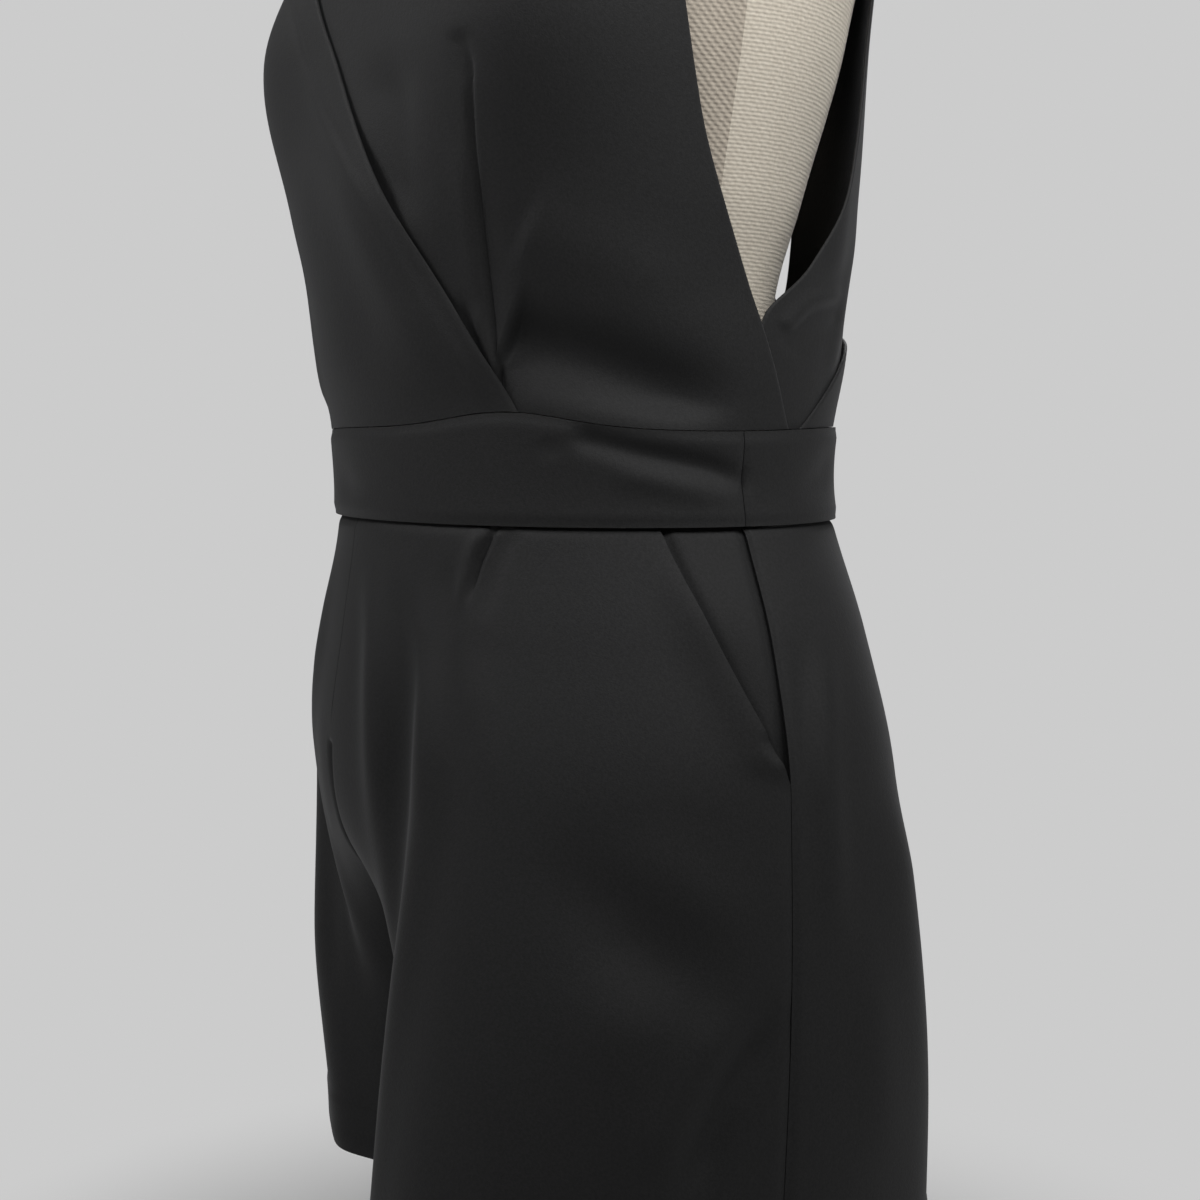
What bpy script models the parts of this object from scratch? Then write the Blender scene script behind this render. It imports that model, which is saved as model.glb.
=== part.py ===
"""Sleeveless romper with a wrapped front and back, worn by a limbless dress form on a short round stand.

Metres, +Z up. The front faces -Y and the wearer's left is +X.
The origin is the middle of the base's underside.
Angles on the body are in degrees: 0 at the centre front, 90 at the wearer's left side, 180 at the centre back.
"""

import math
from functools import partial

import bmesh
import bpy
import numpy as np

# The waist seam's height above the floor, and drops below it
WAIST_TOP = 0.460
BAND_HEIGHT = 0.041
HEM_DROP = 0.360
CROTCH_DROP = 0.250
FORM_BOTTOM_DROP = 0.195

# Cloth
CLOTH = 0.0016
SEAM = 0.0003
LAYER = 0.0034
UNDER = 0.0010
LAYERED_TO = 0.170
SINGLE_FROM = 0.300
BAND_INSIDE = 0.0024
BAND_CLOTH = 0.0046
SHORTS_INSIDE = 0.0024
FACING_INSIDE = -0.0004

# Seams as angles round the garment, at the waist
SIDE_ANGLE = 99.5
PLEAT_ANGLE = 45.5
POCKET_ANGLE = 79.3
POCKET_DROP = 0.145
POCKET_BEND = 1.15
FACING_LAP = 7.0
FACING_TUCK = 3.0
FACING_BELOW = 0.020
MEAN_RADIUS = 0.130

# The lower garment hangs turned towards the wearer's right
TURN_TABLE = (
    # height above the waist, turn in degrees
    (-0.360, -13.0),
    (-0.250, -12.0),
    (-0.041, -9.5),
    (0.000, -9.0),
    (0.090, -4.5),
    (0.180, 0.0),
    (0.500, 0.0),
)

# Sections of the form, and how far the cloth stands clear of it
BODY_TABLE = (
    # height above the waist, half width, front, back, ease at side, front and back
    (-0.360, 0.160, 0.104, 0.114, 0.024, 0.024, 0.022),
    (-0.250, 0.160, 0.104, 0.110, 0.020, 0.020, 0.018),
    (-0.150, 0.158, 0.106, 0.107, 0.012, 0.012, 0.013),
    (-0.090, 0.144, 0.101, 0.098, 0.010, 0.010, 0.015),
    (-0.041, 0.127, 0.095, 0.087, 0.008, 0.008, 0.019),
    (0.000, 0.116, 0.092, 0.078, 0.018, 0.011, 0.030),
    (0.050, 0.117, 0.097, 0.078, 0.020, 0.013, 0.037),
    (0.100, 0.127, 0.105, 0.090, 0.016, 0.012, 0.028),
    (0.170, 0.141, 0.106, 0.110, 0.008, 0.005, 0.008),
    (0.230, 0.149, 0.106, 0.118, 0.003, 0.002, 0.003),
    (0.300, 0.150, 0.093, 0.112, 0.0005, 0.0010, 0.0010),
    (0.340, 0.146, 0.078, 0.097, 0.0001, 0.0001, 0.0001),
    (0.365, 0.135, 0.067, 0.084, 0.0001, 0.0001, 0.0001),
    (0.385, 0.117, 0.059, 0.073, 0.0001, 0.0001, 0.0001),
    (0.405, 0.094, 0.053, 0.063, 0.0001, 0.0001, 0.0001),
    (0.425, 0.074, 0.049, 0.055, 0.0001, 0.0001, 0.0001),
    (0.450, 0.062, 0.049, 0.051, 0.0001, 0.0001, 0.0001),
    (0.500, 0.057, 0.050, 0.050, 0.0001, 0.0001, 0.0001),
)
LEAN_TABLE = (
    # height above the waist, how far the form's middle lies behind the axis
    (-0.360, 0.000),
    (-0.100, 0.000),
    (0.000, -0.004),
    (0.150, 0.000),
    (0.300, 0.004),
    (0.500, 0.008),
)

# Bust
BUST_ANGLE = 43.0
BUST_HEIGHT = 0.172
BUST_DEPTH = 0.026
BUST_SPREAD_ANGLE = 21.0
BUST_SPREAD_ABOVE = 0.052
BUST_SPREAD_BELOW = 0.062
DART_DEPTH = 0.0022
DART_WIDTH_ANGLE = 3.0
DART_TOP = 0.160
DART_FADE = 0.040

# Edges of the front: angle and height above the waist, from the waist seam up to the shoulder
NECK_EDGE = (
    (51.0, 0.0003),
    (36.5, 0.054),
    (19.5, 0.103),
    (2.5, 0.145),
    (-13.0, 0.186),
    (-24.0, 0.225),
    (-32.0, 0.266),
    (-39.0, 0.312),
    (-47.0, 0.358),
    (-62.0, 0.402),
    (-89.8, 0.4235),
)
# The left front lies under the right one, and its neck edge is drawn up higher across the middle
UNDER_NECK_EDGE = (
    (-54.0, 0.0003),
    (-45.0, 0.068),
    (-34.0, 0.130),
    (-23.0, 0.180),
    (-12.0, 0.218),
    (-1.0, 0.250),
    (11.0, 0.283),
    (24.0, 0.319),
    (40.0, 0.360),
    (59.0, 0.402),
    (89.8, 0.4235),
)
ARM_EDGE = (
    (-113.4, 0.0003),
    (-104.0, 0.032),
    (-95.5, 0.060),
    (-87.0, 0.090),
    (-77.5, 0.128),
    (-70.0, 0.170),
    (-64.5, 0.225),
    (-62.5, 0.280),
    (-64.0, 0.330),
    (-89.8, 0.385),
)
# Edges of the left back, as angles from the centre back. The back is open in a deep V down to the wrap
BACK_NECK_EDGE = (
    (62.5, 0.0003),
    (36.0, 0.036),
    (14.0, 0.047),
    (2.5, 0.068),
    (0.0, 0.110),
    (-4.0, 0.160),
    (-11.0, 0.212),
    (-19.0, 0.265),
    (-29.0, 0.315),
    (-42.0, 0.365),
    (-61.0, 0.403),
    (-89.8, 0.4235),
)
# Neck edge of the right back, also seen as if from the left
OVER_BACK_NECK_EDGE = (
    (62.5, 0.0003),
    (36.0, 0.036),
    (14.0, 0.047),
    (-5.0, 0.058),
    (-11.5, 0.095),
    (-13.5, 0.145),
    (-17.0, 0.200),
    (-22.0, 0.255),
    (-30.0, 0.310),
    (-42.0, 0.362),
    (-61.0, 0.403),
    (-89.8, 0.4235),
)
BACK_ARM_EDGE = (
    (-80.5, 0.0003),
    (-80.0, 0.028),
    (-78.0, 0.046),
    (-66.0, 0.068),
    (-54.5, 0.110),
    (-49.0, 0.170),
    (-48.5, 0.230),
    (-52.0, 0.285),
    (-58.0, 0.335),
    (-89.8, 0.385),
)

# Legs: sections in the garment's own turned frame, for the wearer's left and right
LEG_TABLE = {
    1: (
        # height above the waist, half width, front, back
        (-0.360, 0.086, 0.121, 0.112),
        (-0.250, 0.084, 0.124, 0.118),
        (-0.150, 0.082, 0.116, 0.116),
        (-0.041, 0.070, 0.100, 0.104),
    ),
    -1: (
        (-0.360, 0.092, 0.106, 0.110),
        (-0.250, 0.090, 0.114, 0.116),
        (-0.150, 0.084, 0.112, 0.116),
        (-0.041, 0.070, 0.100, 0.104),
    ),
}
CROTCH_SHIFT = 0.020
LEG_GAP = 0.0048
LEG_MIDDLE = 0.090
LEG_FROM = 0.5
CROTCH_START = -0.115
CROTCH_POWER = 4
FULLNESS_START = -0.045
FULLNESS_POWER = 1.1
INNER_SHARE = 0.32

# Largest folds of the shorts, as ridges: share of the panel from the centre seam to the side seam
FRONT_FOLDS = (
    # share at the top, share at the hem, height of the top, height of the bottom, half width, how far out
    (0.17, 0.20, -0.050, -0.300, 0.050, 0.0030),
    (0.34, 0.40, -0.050, -0.360, 0.055, 0.0045),
    (0.76, 0.86, -0.200, -0.360, 0.080, 0.0050),
)
BACK_FOLDS = (
    (0.20, 0.28, -0.060, -0.360, 0.080, 0.0045),
    (0.70, 0.66, -0.140, -0.360, 0.100, 0.0050),
)
FOLD_RISE = 4
FOLD_FALL = 3
PLEAT_DEPTH = 0.0020
PLEAT_LENGTH = 0.040
PLEAT_WIDTH = 0.030
PLEAT_SLANT = 0.5

# Stand
BASE_RADIUS = 0.150
BASE_THICK = 0.010
BASE_BEVEL = 0.002
HUB_RADIUS = 0.022
HUB_HEIGHT = 0.024
HUB_BEVEL = 0.001
POLE_RADIUS = 0.011
POLE_BEVEL = 0.0005
FLANGE_RADIUS = 0.045
FLANGE_THICK = 0.008
FLANGE_BEVEL = 0.001
CAP_RADIUS = 0.047
CAP_THICK = 0.012
CAP_BEVEL = 0.003
NECK_TOP = 0.490

# Grids: how many strips each piece has, and the small steps that measure a surface's direction
FRONT_ROWS = 17
FRONT_COLUMNS = 14
BACK_ROWS = 22
BACK_COLUMNS = 20
ROW_CROWDING = 1.4
BAND_ROWS = 3
SHORTS_COLUMNS = 14
FACING_COLUMNS = 6
FORM_SIDES = 40
ANGLE_STEP = 0.5
HEIGHT_STEP = 0.001
SHARE_STEP = 0.004
SHORTS_HEIGHT_STEP = 0.0008
SHARP_ANGLE = 50

# Heights above the waist of the rows of points, closer together where the shape changes fast
SHORTS_ROWS = (
    -BAND_HEIGHT, -0.062, -0.085, -0.110, -0.135, -0.160, -0.182, -0.202,
    -0.218, -0.231, -0.241, -0.247, -0.252, -0.270, -0.300, -0.330, -HEM_DROP,
)
FORM_LEVELS = (
    -FORM_BOTTOM_DROP, -0.15, -0.105, -0.06, -0.02, 0.02, 0.06, 0.10, 0.135, 0.17, 0.205,
    0.24, 0.275, 0.31, 0.34, 0.365, 0.385, 0.40, 0.415, 0.43, 0.455, NECK_TOP,
)


def material(name, colour, roughness, metallic=0.0):
    """A Principled material in one colour."""
    made = bpy.data.materials.new(name)
    made.use_nodes = True
    shader = made.node_tree.nodes["Principled BSDF"]
    shader.inputs["Base Color"].default_value = (*colour, 1.0)
    shader.inputs["Roughness"].default_value = roughness
    shader.inputs["Metallic"].default_value = metallic
    return made


def smooth(value):
    """0 to 1 with a soft start and end."""
    value = min(1.0, max(0.0, value))
    return value * value * (3 - 2 * value)


def soft_curve(table, at, column=1):
    """One column of a table, read at a height, through a smooth curve whose slopes never overshoot."""
    rows = sorted((row[0], row[column]) for row in table)
    if at <= rows[0][0]:
        return rows[0][1]
    if at >= rows[-1][0]:
        return rows[-1][1]
    index = max(i for i, row in enumerate(rows) if row[0] <= at and i < len(rows) - 1)
    slopes = []
    for i in (index, index + 1):
        if i in (0, len(rows) - 1):
            slopes.append(0.0)
            continue
        before = (rows[i][1] - rows[i - 1][1]) / (rows[i][0] - rows[i - 1][0])
        after = (rows[i + 1][1] - rows[i][1]) / (rows[i + 1][0] - rows[i][0])
        slopes.append(0.0 if before * after <= 0 else 2 * before * after / (before + after))
    (x0, y0), (x1, y1) = rows[index], rows[index + 1]
    span = x1 - x0
    t = (at - x0) / span
    return (
        y0 * (1 + 2 * t) * (1 - t) ** 2
        + y1 * t * t * (3 - 2 * t)
        + slopes[0] * span * t * (1 - t) ** 2
        - slopes[1] * span * t * t * (1 - t)
    )


def edge_at(edge, share):
    """Angle and height on an edge, at a share of the way up it."""
    place = share * (len(edge) - 1)
    numbered = [(i, *row) for i, row in enumerate(edge)]
    angle = soft_curve([(row[0], row[1]) for row in numbered], place)
    height = soft_curve([(row[0], row[2]) for row in numbered], place)
    # soft_curve flattens at the ends, so the ends are read straight
    for low, high in ((0, 1), (len(edge) - 2, len(edge) - 1)):
        if low <= place <= high:
            t = place - low
            angle = edge[low][0] * (1 - t) + edge[high][0] * t
            height = edge[low][1] * (1 - t) + edge[high][1] * t
    return angle, height


def turn(height):
    """How far the garment is turned on the form, in degrees."""
    return soft_curve(TURN_TABLE, height)


def bust(angle, height):
    """How far the bust stands out of the plain section."""
    spread = BUST_SPREAD_ABOVE if height > BUST_HEIGHT else BUST_SPREAD_BELOW
    rise = math.exp(-(((height - BUST_HEIGHT) / spread) ** 2))
    wrapped = (angle + 180) % 360 - 180
    return sum(
        BUST_DEPTH * rise * math.exp(-(((wrapped - side * BUST_ANGLE) / BUST_SPREAD_ANGLE) ** 2))
        for side in (1, -1)
    )


def body(angle, height, ease=0.0):
    """A point of the form's surface, or of the cloth's inner face where ease is 1."""
    columns = [soft_curve(BODY_TABLE, height, c) for c in range(1, 7)]
    half_width = columns[0] + ease * columns[3]
    front = columns[1] + ease * columns[4]
    back = columns[2] + ease * columns[5]
    turned = math.radians(angle)
    across, along = math.sin(turned), -math.cos(turned)
    depth = front if along < 0 else back
    out = bust(angle, height)
    point = np.array([half_width * across, depth * along, 0.0])
    way = np.array([across / half_width, along / depth, 0.0])
    point += out * way / np.linalg.norm(way)
    point[1] += soft_curve(LEAN_TABLE, height)
    point[2] = WAIST_TOP + height
    return point


def dart(angle, height):
    """The crease of the bust dart, from the waist seam to just under the bust point."""
    across = (abs(angle) - PLEAT_ANGLE) / DART_WIDTH_ANGLE
    return -DART_DEPTH * math.exp(-across * across) * smooth((DART_TOP - height) / DART_FADE)


def bodice(angle, height):
    """A point of the bodice's inner face. The angle is the garment's own."""
    return body(angle + turn(height), height, 1.0)


def unit_normal(surface, a, b, step_a, step_b):
    """The outward direction of a surface of two numbers, by small steps."""
    along_a = surface(a + step_a, b) - surface(a - step_a, b)
    along_b = surface(a, b + step_b) - surface(a, b - step_b)
    crossed = np.cross(along_a, along_b)
    return crossed / np.linalg.norm(crossed)


def solid_from_grids(name, outer, inner, made_of):
    """One closed wall from its outer and inner grids of points, of the same size."""
    rows, columns = len(outer), len(outer[0])
    mesh = bmesh.new()
    out = [[mesh.verts.new(point) for point in row] for row in outer]
    inn = [[mesh.verts.new(point) for point in row] for row in inner]
    for r in range(rows - 1):
        for c in range(columns - 1):
            mesh.faces.new((out[r][c], out[r][c + 1], out[r + 1][c + 1], out[r + 1][c]))
            mesh.faces.new((inn[r][c], inn[r + 1][c], inn[r + 1][c + 1], inn[r][c + 1]))
    for c in range(columns - 1):
        mesh.faces.new((out[0][c], inn[0][c], inn[0][c + 1], out[0][c + 1]))
        mesh.faces.new((out[-1][c], out[-1][c + 1], inn[-1][c + 1], inn[-1][c]))
    for r in range(rows - 1):
        mesh.faces.new((out[r][0], out[r + 1][0], inn[r + 1][0], inn[r][0]))
        mesh.faces.new((out[r][-1], inn[r][-1], inn[r + 1][-1], out[r + 1][-1]))
    return finish_mesh(name, mesh, made_of)


def finish_mesh(name, mesh, made_of):
    """Turns a bmesh into a named, smooth-shaded object with its faces pointing out."""
    bmesh.ops.triangulate(mesh, faces=mesh.faces[:])
    bmesh.ops.recalc_face_normals(mesh, faces=mesh.faces[:])
    if mesh.calc_volume(signed=True) < 0:
        bmesh.ops.reverse_faces(mesh, faces=mesh.faces[:])
    data = bpy.data.meshes.new(name)
    mesh.to_mesh(data)
    mesh.free()
    data.shade_smooth()
    data.set_sharp_from_angle(angle=math.radians(SHARP_ANGLE))
    data.materials.append(made_of)
    made = bpy.data.objects.new(name, data)
    bpy.context.scene.collection.objects.link(made)
    return made


def bodice_panel(name, edges, inside, made_of, rows, columns, creased=False):
    """A panel of the bodice between its two edges, at a layer's distance from the inner face."""
    first_edge, last_edge = edges
    outer, inner = [], []
    for r in range(rows + 1):
        up = 1 - (1 - r / rows) ** ROW_CROWDING
        start = edge_at(first_edge, up)
        end = edge_at(last_edge, up)
        outer_row, inner_row = [], []
        for c in range(columns + 1):
            share = c / columns
            angle = start[0] * (1 - share) + end[0] * share
            height = start[1] * (1 - share) + end[1] * share
            point = bodice(angle, height)
            normal = unit_normal(bodice, angle, height, ANGLE_STEP, HEIGHT_STEP)
            if r == 0:
                normal[2] = 0.0
            layered = 1 - smooth((height - LAYERED_TO) / (SINGLE_FROM - LAYERED_TO))
            lift = UNDER + inside * layered + (dart(angle, height) if creased else 0.0)
            inner_row.append(point + normal * lift)
            outer_row.append(point + normal * (lift + CLOTH))
        outer.append(outer_row)
        inner.append(inner_row)
    return solid_from_grids(name, outer, inner, made_of)


def mirrored(edge):
    """The same edge on the wearer's other side."""
    return tuple((-angle, height) for angle, height in edge)


def from_back(edge):
    """An edge given by angles from the centre back, as angles from the centre front."""
    return tuple((180 + angle, height) for angle, height in edge)


def make_bodice(cloth):
    """The four panels: the right front and right back lap over the left ones."""
    front_left = (UNDER_NECK_EDGE, mirrored(ARM_EDGE))
    front_right = (ARM_EDGE, NECK_EDGE)
    back_left = (from_back(BACK_ARM_EDGE), from_back(BACK_NECK_EDGE))
    back_right = (from_back(mirrored(OVER_BACK_NECK_EDGE)), from_back(mirrored(BACK_ARM_EDGE)))
    for name, edges, layers in (
        ("bodice_front_left", front_left, 1),
        ("bodice_front_right", front_right, 2),
    ):
        bodice_panel(name, edges, layers * LAYER, cloth, FRONT_ROWS, FRONT_COLUMNS, creased=True)
    for name, edges, layers in (
        ("bodice_back_left", back_left, 0),
        ("bodice_back_right", back_right, 1),
    ):
        bodice_panel(name, edges, layers * LAYER, cloth, BACK_ROWS, BACK_COLUMNS)


def degrees_of(length):
    """A short length round the body as an angle."""
    return math.degrees(length / MEAN_RADIUS)


def make_waistband(cloth):
    """The band in two lengths, joined at the side seams."""
    half_seam = degrees_of(SEAM / 2)
    for name, start, end, columns in (
        ("waistband_front", -SIDE_ANGLE, SIDE_ANGLE, 28),
        ("waistband_back", SIDE_ANGLE, 360 - SIDE_ANGLE, 22),
    ):
        outer, inner = [], []
        for r in range(BAND_ROWS + 1):
            height = -BAND_HEIGHT + r * BAND_HEIGHT / BAND_ROWS
            turned = [
                start + half_seam + (end - start - 2 * half_seam) * c / columns
                for c in range(columns + 1)
            ]
            points = [bodice(angle, height) for angle in turned]
            normals = [unit_normal(bodice, angle, height, ANGLE_STEP, HEIGHT_STEP) for angle in turned]
            for normal in normals:
                normal[2] = 0.0
            inner.append([p + n * BAND_INSIDE for p, n in zip(points, normals)])
            outer.append([p + n * (BAND_INSIDE + BAND_CLOTH) for p, n in zip(points, normals)])
        solid_from_grids(name, outer, inner, cloth)


def rotated(point, degrees):
    """A point turned about the upright axis."""
    a = math.radians(degrees)
    x, y, z = point
    return np.array([x * math.cos(a) - y * math.sin(a), x * math.sin(a) + y * math.cos(a), z])


def closing(height, share=0.0):
    """How far a place on a panel has left the hips' section for the leg's, 0 to 1.

    At the centre seam this draws the crotch curve. Further out the change is longer and softer.
    """
    outward = smooth(share / INNER_SHARE)
    start = CROTCH_START + (FULLNESS_START - CROTCH_START) * outward
    end = -CROTCH_DROP + (CROTCH_DROP - HEM_DROP) * outward
    power = CROTCH_POWER + (FULLNESS_POWER - CROTCH_POWER) * outward
    return min(1.0, max(0.0, (start - height) / (start - end))) ** power


def folds(table, share, height):
    """How far the long soft folds stand out at a place on a panel of the shorts."""
    out = 0.0
    for top_share, hem_share, top, bottom, half_width, depth in table:
        down = (top - height) / (top - bottom)
        if down <= 0:
            continue
        middle = top_share + (hem_share - top_share) * min(1.0, down)
        rise = smooth(down * FOLD_RISE) * (1.0 if bottom <= -HEM_DROP else smooth((1 - down) * FOLD_FALL))
        across = (share - middle) / half_width
        out += depth * rise * math.exp(-across * across)
    return out


def pleat(share, height):
    """The stitched tuck under the waistband: a step down towards the centre that runs out."""
    drop = -BAND_HEIGHT - height
    if drop > PLEAT_LENGTH:
        return 0.0
    middle = PLEAT_ANGLE / SIDE_ANGLE - PLEAT_SLANT * drop
    across = (share - middle) / PLEAT_WIDTH
    return -PLEAT_DEPTH * math.exp(-across * across) * smooth(1 - drop / PLEAT_LENGTH)


def shorts_point(side, part, share, height):
    """A point of the shorts' inner face in the garment's own frame.

    side is 1 for the wearer's left, and -1 for the right. part is front or back.
    share runs from 0 at the centre seam to 1 at the side seam.
    """
    angle = SIDE_ANGLE * share if part == "front" else 180 - (180 - SIDE_ANGLE) * share
    lower = body(side * angle + turn(height), height, 1.0)
    pelvis = rotated(lower, -turn(height))
    middle = rotated(body(turn(height) + (0 if part == "front" else 180), height, 1.0), -turn(height))
    pelvis[0] -= middle[0] * (1 - share) ** 2
    half_width, front, back = (soft_curve(LEG_TABLE[side], height, c) for c in (1, 2, 3))
    centre = side * (half_width + LEG_GAP) + CROTCH_SHIFT
    if part == "front":
        leg_angle = math.radians(-90 + (90 + SIDE_ANGLE) * share)
    else:
        leg_angle = math.radians(270 - (270 - SIDE_ANGLE) * share)
    depth = front if math.cos(leg_angle) > 0 else back
    leg = np.array([
        centre + side * half_width * math.sin(leg_angle),
        -depth * math.cos(leg_angle),
        pelvis[2],
    ])
    blend = closing(height, share)
    return pelvis * (1 - blend) + leg * blend


def shorts_panel(
    name, side, part, cloth,
    inside=SHORTS_INSIDE, rows=SHORTS_ROWS, columns=SHORTS_COLUMNS, start=None, end=None,
):
    """A panel of the shorts. start and end give the shares of its two edges at a height."""
    fold_table = FRONT_FOLDS if part == "front" else BACK_FOLDS
    surface = partial(shorts_point, side, part)
    outer, inner = [], []
    for height in rows:
        first = start(height) if start else degrees_of(SEAM / 2) / SIDE_ANGLE
        last = end(height) if end else 1 - degrees_of(SEAM / 2) / SIDE_ANGLE
        outer_row, inner_row = [], []
        for c in range(columns + 1):
            share = first + (last - first) * c / columns
            point = surface(share, height)
            normal = unit_normal(surface, share, height, SHARE_STEP, SHORTS_HEIGHT_STEP)
            in_leg = closing(height) > LEG_FROM
            middle = np.array([side * LEG_MIDDLE + CROTCH_SHIFT if in_leg else 0.0, 0.0, point[2]])
            if np.dot(normal, point - middle) < 0:
                normal = -normal
            if height in (rows[0], rows[-1]):
                normal[2] = 0.0
                normal /= np.linalg.norm(normal)
            lift = inside + folds(fold_table, share, height)
            if part == "front":
                lift += pleat(share, height)
            pair = [point + normal * (lift + CLOTH), point + normal * lift]
            seam_x = CROTCH_SHIFT * closing(height)
            for corner in pair:
                if side * (corner[0] - seam_x) < SEAM / 2:
                    corner[0] = seam_x + side * SEAM / 2
            outer_row.append(rotated(pair[0], turn(height)))
            inner_row.append(rotated(pair[1], turn(height)))
        outer.append(outer_row)
        inner.append(inner_row)
    for grid in (outer, inner):
        for point in grid[0]:
            point[2] = WAIST_TOP - BAND_HEIGHT - SEAM
    return solid_from_grids(name, outer, inner, cloth)


def pocket_share(height):
    """Where the slanted pocket mouth cuts the front panel, as a share."""
    down = (-BAND_HEIGHT - height) / (POCKET_DROP - BAND_HEIGHT)
    angle = POCKET_ANGLE + (SIDE_ANGLE - POCKET_ANGLE) * min(1.0, max(0.0, down)) ** POCKET_BEND
    return min(angle, SIDE_ANGLE - degrees_of(SEAM / 2)) / SIDE_ANGLE


def make_shorts(cloth):
    """Two fronts, two backs and the pocket facings that show in the slanted mouths."""
    facing_rows = [h for h in SHORTS_ROWS if h >= -POCKET_DROP - FACING_BELOW]
    for side, word in ((1, "left"), (-1, "right")):
        shorts_panel(f"shorts_front_{word}", side, "front", cloth, end=pocket_share)
        shorts_panel(f"shorts_back_{word}", side, "back", cloth)
        shorts_panel(
            f"pocket_facing_{word}", side, "front", cloth,
            inside=FACING_INSIDE, rows=facing_rows, columns=FACING_COLUMNS,
            start=lambda h: pocket_share(h) - FACING_LAP / SIDE_ANGLE,
            end=lambda h: 1 + FACING_TUCK / SIDE_ANGLE,
        )


def make_form(linen):
    """The form as one closed body: rings from its flat bottom to the top of the neck."""
    mesh = bmesh.new()
    rings = [
        [mesh.verts.new(body(360 * i / FORM_SIDES, height)) for i in range(FORM_SIDES)]
        for height in FORM_LEVELS
    ]
    for lower, upper in zip(rings, rings[1:]):
        for i in range(FORM_SIDES):
            j = (i + 1) % FORM_SIDES
            mesh.faces.new((lower[i], lower[j], upper[j], upper[i]))
    mesh.faces.new(rings[0][::-1])
    mesh.faces.new(rings[-1])
    return finish_mesh("form_torso", mesh, linen)


def turned_solid(name, profile, made_of, segments, middle=(0.0, 0.0)):
    """A solid of revolution about an upright axis, from radius and height pairs, bottom to top."""
    mesh = bmesh.new()
    rings = [
        [
            mesh.verts.new((
                middle[0] + radius * math.cos(2 * math.pi * i / segments),
                middle[1] + radius * math.sin(2 * math.pi * i / segments),
                height,
            ))
            for i in range(segments)
        ]
        for radius, height in profile
    ]
    for lower, upper in zip(rings, rings[1:]):
        for i in range(segments):
            j = (i + 1) % segments
            mesh.faces.new((lower[i], lower[j], upper[j], upper[i]))
    mesh.faces.new(rings[0][::-1])
    mesh.faces.new(rings[-1])
    return finish_mesh(name, mesh, made_of)


def bevelled(radius, low, high, bevel):
    """The profile of a disc with small bevels at both rims."""
    return (
        (radius - bevel, low),
        (radius, low + bevel),
        (radius, high - bevel),
        (radius - bevel, high),
    )


def make_stand(metal, wood):
    """Base, hub, pole, flange and neck cap."""
    hub_low = BASE_THICK + SEAM
    hub_top = BASE_THICK + HUB_HEIGHT
    flange_top = WAIST_TOP - FORM_BOTTOM_DROP - SEAM
    flange_low = flange_top - FLANGE_THICK
    pole_low, pole_top = hub_top + SEAM, flange_low - SEAM
    cap_low = WAIST_TOP + NECK_TOP + SEAM
    cap_top = cap_low + CAP_THICK
    lean = soft_curve(LEAN_TABLE, NECK_TOP)
    turned_solid("stand_base", bevelled(BASE_RADIUS, 0.0, BASE_THICK, BASE_BEVEL), metal, segments=48)
    turned_solid("stand_hub", bevelled(HUB_RADIUS, hub_low, hub_top, HUB_BEVEL), metal, segments=24)
    turned_solid("stand_pole", bevelled(POLE_RADIUS, pole_low, pole_top, POLE_BEVEL), metal, segments=20)
    flange_profile = bevelled(FLANGE_RADIUS, flange_low, flange_top, FLANGE_BEVEL)
    turned_solid("stand_flange", flange_profile, metal, segments=28)
    cap_profile = bevelled(CAP_RADIUS, cap_low, cap_top, CAP_BEVEL)
    turned_solid("neck_cap", cap_profile, wood, segments=32, middle=(0.0, lean))


def main():
    for thing in list(bpy.data.objects):
        bpy.data.objects.remove(thing)
    cloth = material("black_crepe", (0.012, 0.012, 0.013), 0.78)
    linen = material("form_linen", (0.62, 0.57, 0.48), 0.9)
    metal = material("stand_metal", (0.62, 0.62, 0.63), 0.35, 1.0)
    wood = material("cap_wood", (0.55, 0.40, 0.25), 0.5)
    make_bodice(cloth)
    make_waistband(cloth)
    make_shorts(cloth)
    make_form(linen)
    make_stand(metal, wood)


main()
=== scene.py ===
"""Black sleeveless romper with a wrapped front and back, on a limbless dress form with a round stand.

Metres, +Z up, front at -Y, the wearer's left at +X. The cloth is made again on fine grids from the part's
own tables, with the folds, seams and edges that its solids leave out.
"""

import math

import bmesh
import bpy
import numpy as np
from mathutils import Matrix


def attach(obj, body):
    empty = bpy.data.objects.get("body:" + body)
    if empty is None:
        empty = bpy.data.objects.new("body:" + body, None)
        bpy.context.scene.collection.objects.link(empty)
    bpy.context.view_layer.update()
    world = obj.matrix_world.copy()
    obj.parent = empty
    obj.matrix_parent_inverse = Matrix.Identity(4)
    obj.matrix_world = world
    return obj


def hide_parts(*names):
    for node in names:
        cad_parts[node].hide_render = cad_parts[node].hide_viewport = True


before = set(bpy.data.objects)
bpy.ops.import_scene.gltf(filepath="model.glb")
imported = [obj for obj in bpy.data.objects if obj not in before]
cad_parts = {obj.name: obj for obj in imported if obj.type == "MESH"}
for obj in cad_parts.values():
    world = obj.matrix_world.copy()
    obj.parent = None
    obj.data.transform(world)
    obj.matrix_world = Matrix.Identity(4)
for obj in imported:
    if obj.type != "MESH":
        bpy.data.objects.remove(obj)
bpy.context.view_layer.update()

# Heights
WAIST_TOP = 0.460
BAND_HEIGHT = 0.041
HEM_DROP = 0.360
CROTCH_DROP = 0.250
FORM_BOTTOM_DROP = 0.195
NECK_TOP = 0.490

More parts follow.
